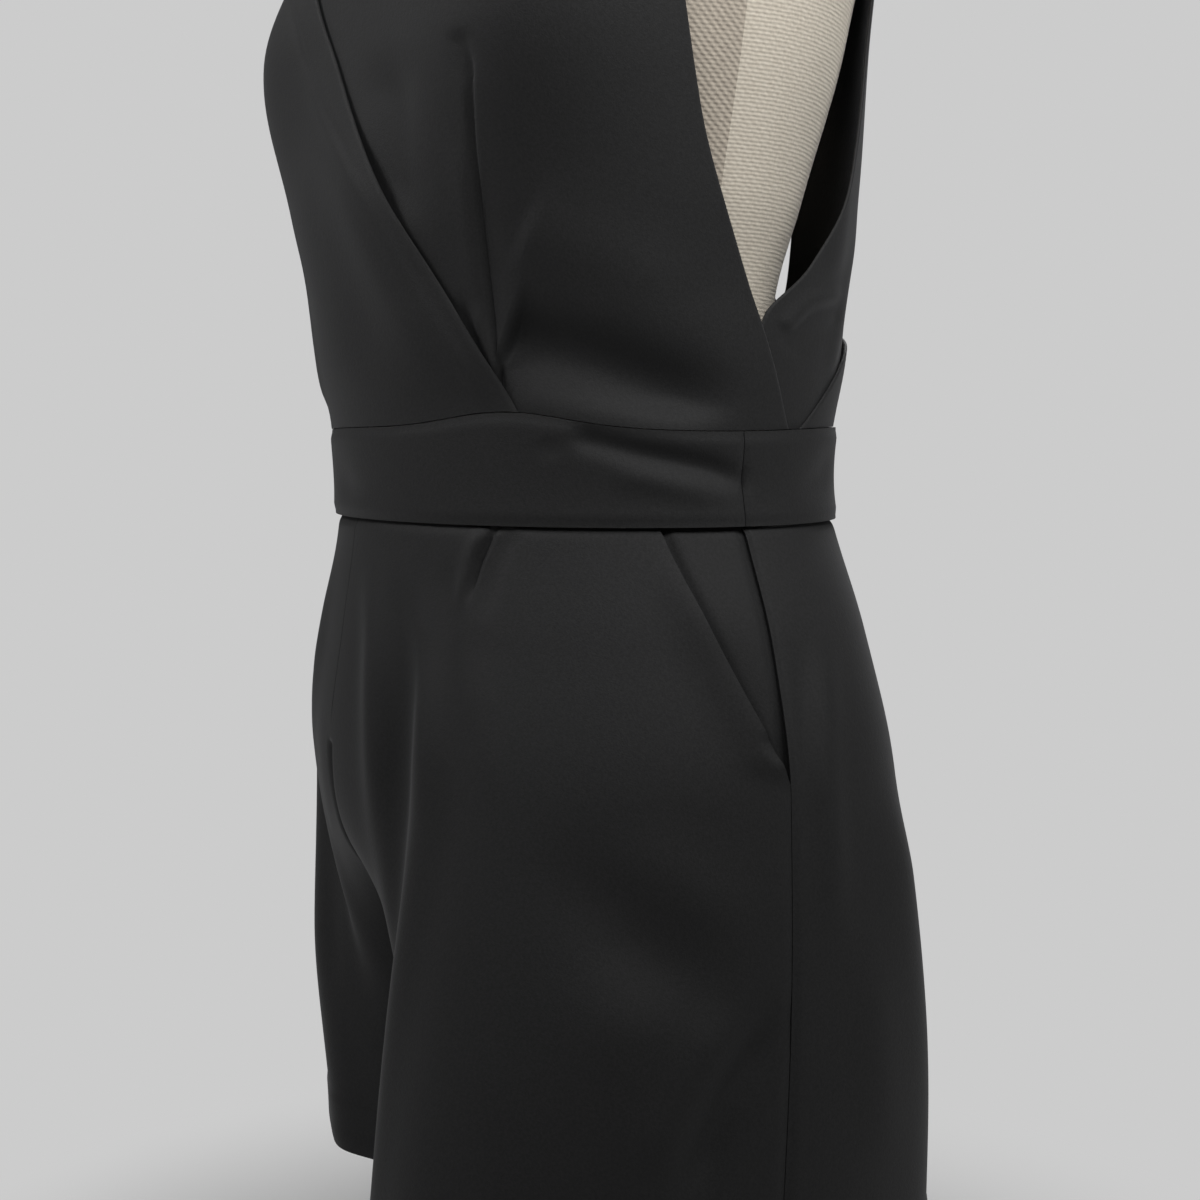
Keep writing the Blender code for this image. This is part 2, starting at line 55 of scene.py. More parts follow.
# Cloth
CLOTH = 0.0014
SEAM = 0.0003
LAYER = 0.0026
UNDER = 0.0010
LAYERED_TO = 0.170
SINGLE_FROM = 0.300
ROOM_SHARE = 0.85
BAND_INSIDE = 0.0024
BAND_CLOTH = 0.0046
SHORTS_INSIDE = 0.0024
FACING_INSIDE = -0.0004

# Measures that all the grids share
MILLIMETRE = 0.001
MEAN_RADIUS = 0.13
METRES_A_DEGREE = MEAN_RADIUS * math.pi / 180
SHARP_ANGLE = 60
CROWDING_SAMPLES = 1501
EDGE_SOFTNESS = (0.55, 0.30, 0.14, 0.04)

# The bodice is pressed flat and held still just over the waist seam
PRESSED_SHARE = 0.56
PRESSED_HEIGHT = 0.030
HELD_HEIGHT = 0.012
SIDE_FADE = 14.0
LEAST_WIDTH = 0.001

# The band: rows, how its dents fade to its long edges, and how it is domed and pulled in
BAND_ROWS = 26
BAND_HELD_SHARE = 0.16
BAND_HELD_LEAST = 0.35
BAND_DENT_INSIDE = 0.9
BAND_WALL_SHARE = 0.8
BAND_DOME = 0.0011
BAND_DOME_SHARE = 0.13
BAND_END_GROOVE = 0.0010
BAND_END_WIDTH = 0.0016
WAIST_WAVES = (
    # rise, angle and spread in degrees
    (0.0062, 48.0, 17.0),
    (-0.0018, 95.0, 30.0),
    (-0.0012, -30.0, 30.0),
)
WAIST_WAVE_HEIGHT = 0.060

# The shorts' seams and hem. Widths across a panel are shares of it
SEAM_WIDTH = 0.0100
SIDE_GROOVE = 0.0011
TOP_GROOVE = 0.0016
TOP_GROOVE_HEIGHT = 0.0030
GROOVE_INSIDE = 0.6
HEM_EXTRA = 0.0006
HEM_HEIGHT = 0.026
HEM_STEP = 0.0015
LEG_CENTRE = 0.09
BAND_HOLD_HEIGHT = 0.008
BAND_HOLD_LEAST = 0.3
FOLD_RISE = 4
FOLD_FALL = 3

# Seams as angles round the garment, at the waist
SIDE_ANGLE = 99.5
PLEAT_ANGLE = 45.5
POCKET_ANGLE = 79.3
POCKET_DROP = 0.145
POCKET_BEND = 1.15
POCKET_GAPE = 0.0042
GAPE_START = 0.4
GAPE_END = 0.12
GAPE_WIDTH = 0.050
FACING_RISE = 0.0020
FACING_RISE_WIDTH = 0.030
FACING_SINK = 0.0032
FACING_SINK_FROM = 0.25
FACING_SINK_OVER = 0.5
FACING_SINK_WIDTH = 0.060
FACING_BELOW = 0.015
CENTRE_GROOVE = 0.0022
FACING_LAP = 7.0
FACING_TUCK = 3.0
PLEAT_WAY = (
    # height above the waist, share of the front panel's width at which the pleat lies
    (-0.145, 0.45),
    (-0.085, 0.50),
    (-0.041, 0.57),
)

TURN_TABLE = (
    # height above the waist, turn in degrees
    (-0.360, -13.0),
    (-0.250, -12.0),
    (-0.041, -9.5),
    (0.000, -9.0),
    (0.090, -4.5),
    (0.180, 0.0),
    (0.500, 0.0),
)
BODY_TABLE = (
    # height above the waist, half width, front, back, ease at side, front and back
    (-0.360, 0.160, 0.104, 0.114, 0.024, 0.024, 0.022),
    (-0.250, 0.160, 0.104, 0.110, 0.020, 0.020, 0.018),
    (-0.150, 0.158, 0.106, 0.107, 0.012, 0.012, 0.013),
    (-0.090, 0.144, 0.101, 0.098, 0.010, 0.010, 0.015),
    (-0.041, 0.127, 0.095, 0.087, 0.008, 0.008, 0.019),
    (0.000, 0.116, 0.092, 0.078, 0.018, 0.011, 0.030),
    (0.050, 0.117, 0.097, 0.078, 0.020, 0.013, 0.037),
    (0.100, 0.127, 0.105, 0.090, 0.016, 0.012, 0.028),
    (0.170, 0.141, 0.106, 0.110, 0.008, 0.005, 0.008),
    (0.230, 0.149, 0.106, 0.118, 0.003, 0.002, 0.003),
    (0.300, 0.150, 0.093, 0.112, 0.0005, 0.0010, 0.0010),
    (0.340, 0.146, 0.078, 0.097, 0.0001, 0.0001, 0.0001),
    (0.365, 0.135, 0.067, 0.084, 0.0001, 0.0001, 0.0001),
    (0.385, 0.117, 0.059, 0.073, 0.0001, 0.0001, 0.0001),
    (0.405, 0.094, 0.053, 0.063, 0.0001, 0.0001, 0.0001),
    (0.425, 0.074, 0.049, 0.055, 0.0001, 0.0001, 0.0001),
    (0.450, 0.062, 0.049, 0.051, 0.0001, 0.0001, 0.0001),
    (0.500, 0.057, 0.050, 0.050, 0.0001, 0.0001, 0.0001),
)
LEAN_TABLE = (
    # height above the waist, how far the form's middle lies behind the axis
    (-0.360, 0.000),
    (-0.100, 0.000),
    (0.000, -0.004),
    (0.150, 0.000),
    (0.300, 0.004),
    (0.500, 0.008),
)
BUST_ANGLE = 43.0
BUST_HEIGHT = 0.172
BUST_DEPTH = 0.026
BUST_SPREAD_ANGLE = 21.0
BUST_SPREAD_ABOVE = 0.052
BUST_SPREAD_BELOW = 0.062

# Edges of the front and back: angle and height above the waist, from the waist seam up to the shoulder
NECK_EDGE = (
    (51.0, 0.0003),
    (36.5, 0.054),
    (19.5, 0.103),
    (2.5, 0.145),
    (-13.0, 0.186),
    (-24.0, 0.225),
    (-32.0, 0.266),
    (-39.0, 0.312),
    (-47.0, 0.358),
    (-62.0, 0.402),
    (-89.8, 0.4235),
)
# The left front lies under the right one, and its neck edge is drawn up higher across the middle
UNDER_NECK_EDGE = (
    (-54.0, 0.0003),
    (-45.0, 0.068),
    (-34.0, 0.130),
    (-23.0, 0.180),
    (-12.0, 0.218),
    (-1.0, 0.250),
    (11.0, 0.283),
    (24.0, 0.319),
    (40.0, 0.360),
    (59.0, 0.402),
    (89.8, 0.4235),
)
ARM_EDGE = (
    (-113.4, 0.0003),
    (-104.0, 0.032),
    (-95.5, 0.060),
    (-87.0, 0.090),
    (-77.5, 0.128),
    (-70.0, 0.170),
    (-64.5, 0.225),
    (-62.5, 0.280),
    (-64.0, 0.330),
    (-89.8, 0.385),
)
# Edges of the left back, as angles from the centre back. The back is open in a deep V down to the wrap
BACK_NECK_EDGE = (
    (62.5, 0.0003),
    (36.0, 0.036),
    (14.0, 0.047),
    (2.5, 0.068),
    (0.0, 0.110),
    (-4.0, 0.160),
    (-11.0, 0.212),
    (-19.0, 0.265),
    (-29.0, 0.315),
    (-42.0, 0.365),
    (-61.0, 0.403),
    (-89.8, 0.4235),
)
# Neck edge of the right back, also seen as if from the left
OVER_BACK_NECK_EDGE = (
    (62.5, 0.0003),
    (36.0, 0.036),
    (14.0, 0.047),
    (-5.0, 0.058),
    (-11.5, 0.095),
    (-13.5, 0.145),
    (-17.0, 0.200),
    (-22.0, 0.255),
    (-30.0, 0.310),
    (-42.0, 0.362),
    (-61.0, 0.403),
    (-89.8, 0.4235),
)
BACK_ARM_EDGE = (
    (-80.5, 0.0003),
    (-80.0, 0.028),
    (-78.0, 0.046),
    (-66.0, 0.068),
    (-54.5, 0.110),
    (-49.0, 0.170),
    (-48.5, 0.230),
    (-52.0, 0.285),
    (-58.0, 0.335),
    (-89.8, 0.385),
)
LEG_TABLE = {
    1: (
        # height above the waist, half width, front, back
        (-0.360, 0.086, 0.121, 0.112),
        (-0.250, 0.084, 0.124, 0.118),
        (-0.150, 0.082, 0.116, 0.116),
        (-0.041, 0.070, 0.100, 0.104),
    ),
    -1: (
        (-0.360, 0.092, 0.106, 0.110),
        (-0.250, 0.090, 0.114, 0.116),
        (-0.150, 0.084, 0.112, 0.116),
        (-0.041, 0.070, 0.100, 0.104),
    ),
}
ROW_CROWDING = 1.4
CROTCH_SHIFT = 0.020
LEG_GAP = 0.0048
CROTCH_START = -0.115
CROTCH_POWER = 4
FULLNESS_START = -0.045
FULLNESS_POWER = 1.1
INNER_SHARE = 0.32

# Largest folds of the shorts, the same as in the solids
FRONT_FOLDS = (
    # share at the top, share at the hem, height of the top, height of the bottom, half width, how far out
    (0.17, 0.20, -0.050, -0.300, 0.050, 0.0030),
    (0.34, 0.40, -0.050, -0.360, 0.055, 0.0045),
    (0.76, 0.86, -0.200, -0.360, 0.080, 0.0050),
)
BACK_FOLDS = (
    (0.20, 0.28, -0.060, -0.360, 0.080, 0.0045),
    (0.70, 0.66, -0.140, -0.360, 0.100, 0.0050),
)

# Camera, in the 1200 by 1200 frame of the photograph
IMAGE = 1200
AZIMUTH = 59.5
DISTANCE = 0.900
FOCAL_PIXELS = 1883.0
HORIZON_ROW = 427.0
AXIS_COLUMN = 580.7
SENSOR = 36.0

# Folds of single pieces: a line in the photograph's pixels, half width in pixels, how far out in millimetres
# (negative for a hollow), and the shares of the line's two ends over which it fades
PHOTO_FOLDS = {
    "bodice_front_left": (
        (
            "dart",
            ((470, 45), (476, 62), (479, 134), (485, 215), (497, 322), (505, 405)),
            3, -2.2, 0.08, 0.02,
        ),
        ("dart_left", ((466, 110), (471, 180), (480, 260), (490, 330)), 11, 1.0, 0.3, 0.3),
        ("dart_shadow", ((484, 150), (491, 230), (499, 300), (505, 360)), 12, -1.6, 0.3, 0.2),
        ("dart_dimple", ((466, 30), (471, 50), (475, 95)), 9, -2.0, 0.15, 0.6),
        ("bust_shelf", ((520, 225), (600, 255), (700, 310)), 42, 2.2, 0.1, 0.4),
        ("under_bust", ((508, 335), (560, 352), (640, 380), (745, 418)), 34, -9.0, 0.03, 0.35),
        ("tuck_left", ((462, 290), (482, 340), (500, 395)), 7, -2.2, 0.3, 0.1),
        ("tuck_middle", ((476, 300), (492, 345), (503, 385)), 6, 1.4, 0.3, 0.2),
        ("cleavage", ((400, 40), (400, 170), (420, 235)), 24, -4.0, 0.3, 0.3),
    ),
    "bodice_front_right": (
        ("broad_fold", ((345, 120), (385, 235), (455, 385)), 22, 2.2, 0.3, 0.3),
        ("broad_trough", ((300, 120), (350, 260), (400, 400)), 24, -2.2, 0.3, 0.3),
        ("edge_roll", ((318, 60), (345, 130), (392, 215), (445, 318), (500, 408)), 9, 0.9, 0.1, 0.05),
        ("facing_line", ((300, 0), (318, 60), (348, 128), (384, 192)), 4, -0.8, 0.05, 0.3),
    ),
    "bodice_back_left": (
        ("strap_fold", ((846, 90), (838, 200), (826, 290)), 10, 1.6, 0.2, 0.2),
        ("lower_roll", ((778, 330), (805, 300), (842, 290)), 9, 1.4, 0.1, 0.2),
        ("lower_dip", ((782, 352), (808, 325), (842, 312)), 11, -1.6, 0.1, 0.2),
    ),
    "band": (
        ("dent", ((566, 433), (640, 453), (705, 468), (752, 490)), 12, -3.6, 0.15, 0.25),
        ("dent_lip", ((600, 470), (660, 484), (735, 504)), 12, 1.2, 0.3, 0.4),
        ("small_dent", ((548, 436), (560, 462)), 10, -0.7, 0.3, 0.4),
        ("left_dent", ((330, 450), (350, 478), (372, 505)), 14, -1.4, 0.2, 0.4),
        ("end_dent", ((842, 445), (815, 470), (785, 505)), 14, -1.4, 0.3, 0.4),
    ),
    "shorts_front_left": (
        ("ridge_one", ((378, 545), (382, 700), (386, 870)), 10, 1.8, 0.2, 0.4),
        ("valley_one", ((402, 560), (407, 700), (410, 850)), 11, -1.8, 0.2, 0.4),
        ("ridge_two", ((428, 580), (436, 700), (440, 870)), 12, 2.0, 0.25, 0.4),
        ("valley_two", ((458, 545), (452, 640), (462, 780)), 13, -2.0, 0.2, 0.5),
        ("pleat", ((501, 522), (484, 562), (470, 612)), 3.5, -2.8, 0.02, 0.35),
        ("pleat_roll", ((488, 526), (474, 562), (463, 620)), 8, 2.0, 0.05, 0.4),
        ("pleat_hollow", ((516, 528), (500, 572), (486, 630)), 11, -1.3, 0.05, 0.4),
        ("pleat_ridge", ((480, 640), (492, 740), (505, 860)), 20, 1.4, 0.3, 0.5),
        ("thigh_trough", ((520, 830), (630, 930), (740, 1030)), 46, -4.2, 0.4, 0.35),
        ("thigh_ridge", ((600, 830), (690, 895), (765, 940)), 34, 1.4, 0.4, 0.4),
        ("hip_crease", ((784, 985), (762, 1030), (722, 1100), (676, 1215)), 18, -5.0, 0.35, 0.3),
        ("hip_ridge", ((735, 1000), (695, 1070), (640, 1180)), 24, 2.4, 0.3, 0.3),
        ("lower_ridge", ((470, 1000), (500, 1120), (520, 1300)), 40, 2.0, 0.4, 0.4),
        ("mouth_shadow", ((756, 735), (776, 768)), 7, -2.0, 0.3, 0.3),
    ),
    "shorts_back_left": (
        ("seat_ridge", ((814, 600), (820, 780), (834, 980)), 15, 2.4, 0.3, 0.4),
        ("seat_valley", ((792, 620), (802, 740), (808, 880)), 11, -1.2, 0.3, 0.4),
        ("back_ridge", ((860, 900), (870, 1050), (880, 1200)), 22, 2.0, 0.4, 0.4),
    ),
    "shorts_front_right": (
        ("far_ridge", ((322, 680), (324, 850), (330, 1050)), 9, 1.6, 0.3, 0.4),
        ("far_valley", ((334, 700), (338, 850), (345, 1050)), 8, -1.6, 0.3, 0.4),
    ),
}

# How squarely a place must face the camera for a fold of the photograph to reach it in full
SEEN_FROM = 0.05
SEEN_OVER = 0.25

# Folds of what the photograph doesn't show: angle and height at both ends, half width in metres, how far out
HIDDEN_FADE_IN = 0.15
HIDDEN_FADE_OUT = 0.4
BACK_VIEW_FOLDS = {
    "bodice_back_left": (
        (-150.0, 0.020, -175.0, 0.120, 0.009, -0.0016),
        (128.0, 0.020, 150.0, 0.110, 0.010, 0.0014),
    ),
    "bodice_back_right": (
        (215.0, 0.015, 185.0, 0.110, 0.011, 0.0020),
        (232.0, 0.015, 212.0, 0.120, 0.010, -0.0018),
        (170.0, 0.012, 176.0, 0.080, 0.012, 0.0014),
    ),
    "bodice_front_right": (
        (-60.0, 0.012, -45.0, 0.110, 0.012, -0.0026),
        (-85.0, 0.012, -70.0, 0.090, 0.012, -0.0020),
        (-45.5, 0.002, -44.5, 0.155, 0.0016, -0.0016),
        (-20.0, 0.010, -30.0, 0.080, 0.012, 0.0014),
    ),
}


def smooth(value):
    """0 to 1 with a soft start and end."""
    value = np.clip(value, 0.0, 1.0)
    return value * value * (3 - 2 * value)


def soft_curve(rows, at, level_ends=True):
    """A value between sorted pairs, on a smooth curve whose slopes never overshoot."""
    if at <= rows[0][0]:
        return rows[0][1]
    if at >= rows[-1][0]:
        return rows[-1][1]
    index = max(i for i, row in enumerate(rows) if row[0] <= at and i < len(rows) - 1)
    slopes = []
    for i in (index, index + 1):
        if i in (0, len(rows) - 1):
            straight = (rows[index + 1][1] - rows[index][1]) / (rows[index + 1][0] - rows[index][0])
            slopes.append(0.0 if level_ends else straight)
            continue
        before = (rows[i][1] - rows[i - 1][1]) / (rows[i][0] - rows[i - 1][0])
        after = (rows[i + 1][1] - rows[i][1]) / (rows[i + 1][0] - rows[i][0])
        slopes.append(0.0 if before * after <= 0 else 2 * before * after / (before + after))
    (x0, y0), (x1, y1) = rows[index], rows[index + 1]
    span = x1 - x0
    t = (at - x0) / span
    return (
        y0 * (1 + 2 * t) * (1 - t) ** 2
        + y1 * t * t * (3 - 2 * t)
        + slopes[0] * span * t * (1 - t) ** 2
        - slopes[1] * span * t * t * (1 - t)
    )


def dense(table, column=1, samples=900):
    """A table's column as closely spaced pairs, so that whole grids can be read at once."""
    rows = sorted((row[0], row[column]) for row in table)
    places = np.linspace(rows[0][0], rows[-1][0], samples)
    return places, np.array([soft_curve(rows, place) for place in places])


TURN = dense(TURN_TABLE)
LEAN = dense(LEAN_TABLE)
BODY = [dense(BODY_TABLE, column) for column in range(1, 7)]
LEG = {side: [dense(table, column) for column in (1, 2, 3)] for side, table in LEG_TABLE.items()}


def read(curve, at):
    """A dense curve at one place or many."""
    return np.interp(at, curve[0], curve[1])


def edge_at(edge, share):
    """Angle and height on an edge, at a share of the way up it."""
    place = share * (len(edge) - 1)
    angle = soft_curve([(i, row[0]) for i, row in enumerate(edge)], place, level_ends=False)
    height = soft_curve([(i, row[1]) for i, row in enumerate(edge)], place, level_ends=False)
    return angle, height


def mirrored(edge):
    """The same edge on the wearer's other side."""
    return tuple((-angle, height) for angle, height in edge)


def from_back(edge):
    """An edge given by angles from the centre back, as angles from the centre front."""
    return tuple((180 + angle, height) for angle, height in edge)


def bust(angle, height):
    """How far the bust stands out of the plain section."""
    spread = np.where(height > BUST_HEIGHT, BUST_SPREAD_ABOVE, BUST_SPREAD_BELOW)
    rise = np.exp(-(((height - BUST_HEIGHT) / spread) ** 2))
    wrapped = (angle + 180) % 360 - 180
    left = np.exp(-(((wrapped - BUST_ANGLE) / BUST_SPREAD_ANGLE) ** 2))
    right = np.exp(-(((wrapped + BUST_ANGLE) / BUST_SPREAD_ANGLE) ** 2))
    return BUST_DEPTH * rise * (left + right)


def body(angle, height, ease=0.0):
    """Points of the form's surface, or of the cloth's inner face where ease is 1."""
    angle, height = np.broadcast_arrays(np.asarray(angle, float), np.asarray(height, float))
    half_width = read(BODY[0], height) + ease * read(BODY[3], height)
    front = read(BODY[1], height) + ease * read(BODY[4], height)
    back = read(BODY[2], height) + ease * read(BODY[5], height)
    turned = np.radians(angle)
    across, along = np.sin(turned), -np.cos(turned)
    depth = np.where(along < 0, front, back)
    way = np.stack([across / half_width, along / depth], axis=-1)
    way /= np.linalg.norm(way, axis=-1, keepdims=True)
    out = bust(angle, height)
    return np.stack([
        half_width * across + out * way[..., 0],
        depth * along + out * way[..., 1] + read(LEAN, height),
        WAIST_TOP + height,
    ], axis=-1)


def bodice(angle, height):
    """Points of the bodice's inner face. The angle is the garment's own."""
    return body(angle + read(TURN, height), height, 1.0)


def rotated(points, degrees):
    """Points turned about the upright axis."""
    a = np.radians(degrees)
    x, y, z = points[..., 0], points[..., 1], points[..., 2]
    return np.stack([x * np.cos(a) - y * np.sin(a), x * np.sin(a) + y * np.cos(a), z], axis=-1)


def grid_normals(points):
    """Directions at right angles to a grid of points, turned away from the upright axis as a whole."""
    across = np.gradient(points, axis=1)
    up = np.gradient(points, axis=0)
    normals = np.cross(across, up)
    normals /= np.maximum(np.linalg.norm(normals, axis=-1, keepdims=True), 1e-12)
    return normals


# The camera's own directions
EYE = np.array([
    math.sin(math.radians(AZIMUTH)) * DISTANCE,
    -math.cos(math.radians(AZIMUTH)) * DISTANCE,
    WAIST_TOP,
])


def camera_axes():
    """Right, up and forward of the camera."""
    azimuth = math.radians(AZIMUTH)
    pitch = math.atan((IMAGE / 2 - HORIZON_ROW) / FOCAL_PIXELS)
    yaw = math.atan((IMAGE / 2 - AXIS_COLUMN) / FOCAL_PIXELS)
    level = np.array([-math.sin(azimuth), math.cos(azimuth), 0.0])
    aside = np.array([math.cos(azimuth), math.sin(azimuth), 0.0])
    forward = level * math.cos(yaw) + aside * math.sin(yaw)
    right = aside * math.cos(yaw) - level * math.sin(yaw)
    top = np.array([0.0, 0.0, 1.0])
    looking = forward * math.cos(pitch) - top * math.sin(pitch)
    upward = top * math.cos(pitch) + forward * math.sin(pitch)
    return right, upward, looking


RIGHT, UPWARD, LOOKING = camera_axes()


def turned_out(normals, outward):
    """Directions turned over if most of them point inwards, seen from above."""
    inwards = (normals[..., :2] * outward[..., :2]).sum() < 0
    return -normals if inwards else normals


def matrix_at(across, over, back, place):
    """The matrix of something at a place, from its own three directions."""
    rows = [[across[i], over[i], back[i], place[i]] for i in range(3)]
    return Matrix(rows + [[0.0, 0.0, 0.0, 1.0]])


def in_photo(points):
    """Where points lie in the photograph's frame, in pixels."""
    away = points - EYE
    depth = away @ LOOKING
    column = IMAGE / 2 + FOCAL_PIXELS * (away @ RIGHT) / depth
    row = IMAGE / 2 - FOCAL_PIXELS * (away @ UPWARD) / depth
    return column, row


def line_distance(x, y, line):
    """Distance of many places to a line of points, and the share along it of the nearest place."""
    line = np.asarray(line, float)
    lengths = np.linalg.norm(np.diff(line, axis=0), axis=1)
    total = lengths.sum()
    best = np.full(np.shape(x), np.inf)
    share = np.zeros(np.shape(x))
    passed = 0.0
    for start, end, length in zip(line, line[1:], lengths):
        way = (end - start) / length
        along = np.clip((x - start[0]) * way[0] + (y - start[1]) * way[1], 0.0, length)
        gap = np.hypot(x - start[0] - along * way[0], y - start[1] - along * way[1])
        nearer = gap < best
        best = np.where(nearer, gap, best)
        share = np.where(nearer, (passed + along) / total, share)
        passed += length
    return best, share


def photo_relief(group, points, normals):
    """How far the folds seen in the photograph lift a grid of points, in metres."""
    lift = np.zeros(points.shape[:2])
    if group not in PHOTO_FOLDS:
        return lift
    column, row = in_photo(points)
    towards = EYE - points
    towards /= np.linalg.norm(towards, axis=-1, keepdims=True)
    seen = smooth(((normals * towards).sum(axis=-1) - SEEN_FROM) / SEEN_OVER)
    for _, line, half_width, out, fade_in, fade_out in PHOTO_FOLDS[group]:
        gap, share = line_distance(column, row, line)
        fade = smooth(share / fade_in) * smooth((1 - share) / fade_out)
        lift += MILLIMETRE * out * np.exp(-((gap / half_width) ** 2)) * fade * seen
    return lift


def hidden_relief(group, angle, height):
    """How far the folds on the sides that the photograph doesn't show lift a grid of points."""
    lift = np.zeros(np.shape(angle))
    for angle_a, height_a, angle_b, height_b, half_width, out in BACK_VIEW_FOLDS.get(group, ()):
        line = ((angle_a * METRES_A_DEGREE, height_a), (angle_b * METRES_A_DEGREE, height_b))
        gap, share = line_distance(angle * METRES_A_DEGREE, height, line)
        fade = smooth(share / HIDDEN_FADE_IN) * smooth((1 - share) / HIDDEN_FADE_OUT)
        lift += out * np.exp(-((gap / half_width) ** 2)) * fade
    return lift


def wall_mesh(name, outer, inner, material):
    """A closed wall of cloth from its outer and inner grids."""
    rows, columns = outer.shape[:2]
    count = rows * columns
    points = np.concatenate([outer.reshape(-1, 3), inner.reshape(-1, 3)])
    index = np.arange(count).reshape(rows, columns)
    corners = (index[:-1, :-1], index[:-1, 1:], index[1:, 1:], index[1:, :-1])
    outside = np.stack([corner.ravel() for corner in corners], axis=-1)
    inside = outside[:, [0, 3, 2, 1]] + count
    faces = outside.tolist() + inside.tolist()
    for line, flip in ((index[0], False), (index[-1], True), (index[:, 0], True), (index[:, -1], False)):
        for start, end in zip(line[:-1].tolist(), line[1:].tolist()):
            face = (start, start + count, end + count, end)
            faces.append(face[::-1] if flip else face)
    mesh = bpy.data.meshes.new(name)
    mesh.from_pydata(points.tolist(), [], faces)
    checked = bmesh.new()
    checked.from_mesh(mesh)
    bmesh.ops.recalc_face_normals(checked, faces=checked.faces[:])
    if checked.calc_volume(signed=True) < 0:
        bmesh.ops.reverse_faces(checked, faces=checked.faces[:])
    checked.to_mesh(mesh)
    checked.free()
    mesh.shade_smooth()
    mesh.set_sharp_from_angle(angle=math.radians(SHARP_ANGLE))
    mesh.materials.append(material)
    made = bpy.data.objects.new(name, mesh)
    bpy.context.scene.collection.objects.link(made)
    return made


def crowded(count, places, width=0.05, strength=4.0):
    """Shares from 0 to 1 that lie closer together round some places, where the cloth has its fine lines."""
    even = np.linspace(0, 1, CROWDING_SAMPLES)
    density = np.ones_like(even)
    for place in places:
        density += strength * np.exp(-(((even - place) / width) ** 2))
    passed = np.concatenate([[0.0], np.cumsum((density[1:] + density[:-1]) / 2)])
    return np.interp(np.linspace(0, passed[-1], count + 1), passed, even)


def rounded_edges(shape, sides):
    """How much of the cloth's thickness is taken off near a grid's named sides, from the edge inwards."""
    taken = np.zeros(shape)
    for step, amount in enumerate(EDGE_SOFTNESS):
        if "top" in sides:
            taken[-1 - step, :] = np.maximum(taken[-1 - step, :], amount)
        if "first" in sides:
            taken[:, step] = np.maximum(taken[:, step], amount)
        if "last" in sides:
            taken[:, -1 - step] = np.maximum(taken[:, -1 - step], amount)
    return taken


def waist_wave(angle, height):
    """The waist seam rises at the front crossing and sinks a little beside it."""
    wrapped = (angle + 180) % 360 - 180
    rise = sum(
        out * np.exp(-(((wrapped - middle) / spread) ** 2)) for out, middle, spread in WAIST_WAVES
    )
    above = smooth(1 - np.maximum(height, 0) / WAIST_WAVE_HEIGHT)
    below = smooth(1 + np.minimum(height, 0) / BAND_HEIGHT)
    return rise * above * below


def bodice_cloth(name, group, first_edge, last_edge, inside, material, rows=170, columns=160,
                 dart_angle=None):
    """A fine panel of the bodice between two edges. Its columns crowd towards the edges and the dart."""
    angles, heights = [], []
    for r in range(rows + 1):
        up = 1 - (1 - r / rows) ** ROW_CROWDING
        start = edge_at(first_edge, up)
        end = edge_at(last_edge, up)
        places = [0.0, 1.0]
        if dart_angle is not None:
            # The two edges meet at the shoulder, so the width is kept above nothing
            width = max(end[0] - start[0], LEAST_WIDTH)
            places.append(min(1.0, max(0.0, (dart_angle - start[0]) / width)))
        shares = crowded(columns, places)
        angles.append(start[0] * (1 - shares) + end[0] * shares)
        heights.append(start[1] * (1 - shares) + end[1] * shares)
    angle, height = np.array(angles), np.array(heights)
    points = bodice(angle, height)
    points[..., 2] += waist_wave(angle, height)
    normals = turned_out(grid_normals(points), points)
    normals[0, :, 2] = 0.0
    layered = 1 - smooth((height - LAYERED_TO) / (SINGLE_FROM - LAYERED_TO))
    pressed = PRESSED_SHARE + (1 - PRESSED_SHARE) * smooth(height / PRESSED_HEIGHT)
    lift = UNDER + inside * layered * pressed
    held = smooth(height / HELD_HEIGHT)
    relief = photo_relief(group, points, normals) + hidden_relief(group, angle, height)
    room = np.zeros_like(height)
    if group == "bodice_front_left":
        # This panel has only the form under it as far as the side, and follows the panel over it
        relief = relief + np.minimum(photo_relief("bodice_front_right", points, normals), 0.0)
        relief = relief + np.minimum(hidden_relief("bodice_front_right", angle, height), 0.0)
        room = ROOM_SHARE * read(BODY[4], height) * smooth((SIDE_ANGLE - angle) / SIDE_FADE)
    lift = lift + relief * held
    lift = np.maximum(lift, UNDER / 2 - room)
    taken = rounded_edges(points.shape[:2], ("first", "last"))
    inner = points + normals * lift[..., None]
    outer = points + normals * (lift + CLOTH * (1 - taken))[..., None]
    inner += normals * (CLOTH * taken / 2)[..., None]
    return wall_mesh(name, outer, inner, material)


def degrees_of(length):
    """A short length round the body as an angle."""
    return math.degrees(length / MEAN_RADIUS)


